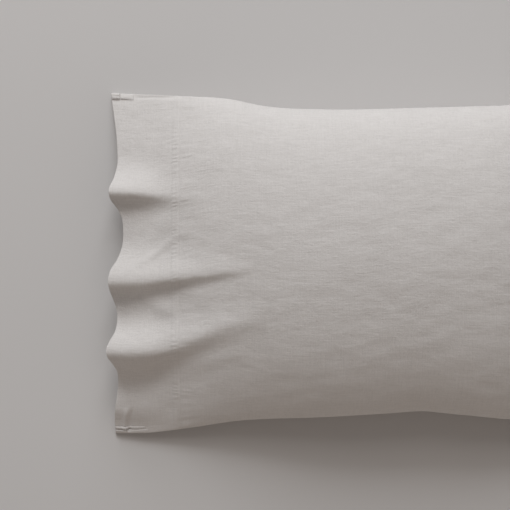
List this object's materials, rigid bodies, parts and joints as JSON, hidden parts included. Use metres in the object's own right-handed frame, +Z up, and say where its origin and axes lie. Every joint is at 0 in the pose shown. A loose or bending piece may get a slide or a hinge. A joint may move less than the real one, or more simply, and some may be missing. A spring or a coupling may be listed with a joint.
{
  "type": "bed pillow",
  "caption": "Bed pillow lying flat: a plain linen case with a deep rippled hem at its open mouth, and the piped, fibre-filled insert that slides out of it.",
  "frame": {"origin": "centre of the pillow's outline, on the surface that it lies on", "axes": "+X along the pillow from the open mouth to the closed end, +Y across it, +Z up from the surface that it lies on"},
  "size_m": [0.7361, 0.485, 0.1599],
  "materials": {
    "case_linen": "matte",
    "case_thread": "matte",
    "label_tape": "satin",
    "ticking": "matte",
    "piping": "matte",
    "filling": "matte"
  },
  "bodies": {
    "case": {"case_face_panel": "case_linen", "case_back_panel": "case_linen", "face_hem_ply": "case_linen", "back_hem_ply": "case_linen", "upper_side_seam": "case_linen", "lower_side_seam": "case_linen", "closed_end_seam": "case_linen", "face_hem_stitching": "case_thread", "back_hem_stitching": "case_thread", "upper_mouth_backtack": "case_thread", "lower_mouth_backtack": "case_thread", "case_care_label": "label_tape"},
    "insert": {"ticking_face_panel": "ticking", "ticking_back_panel": "ticking", "ticking_piping": "piping", "ticking_closing_stitch": "piping", "insert_label": "label_tape", "fill": "filling"}
  },
  "joints": [
    {"name": "insert_slide", "type": "slide", "parent": "case", "child": "insert", "axis": [-1, 0, 0], "range_m": [0, 0.76], "deforming": ["case_face_panel", "case_back_panel", "face_hem_ply", "back_hem_ply", "upper_side_seam", "lower_side_seam", "closed_end_seam", "face_hem_stitching", "back_hem_stitching", "case_care_label"]}
  ]
}
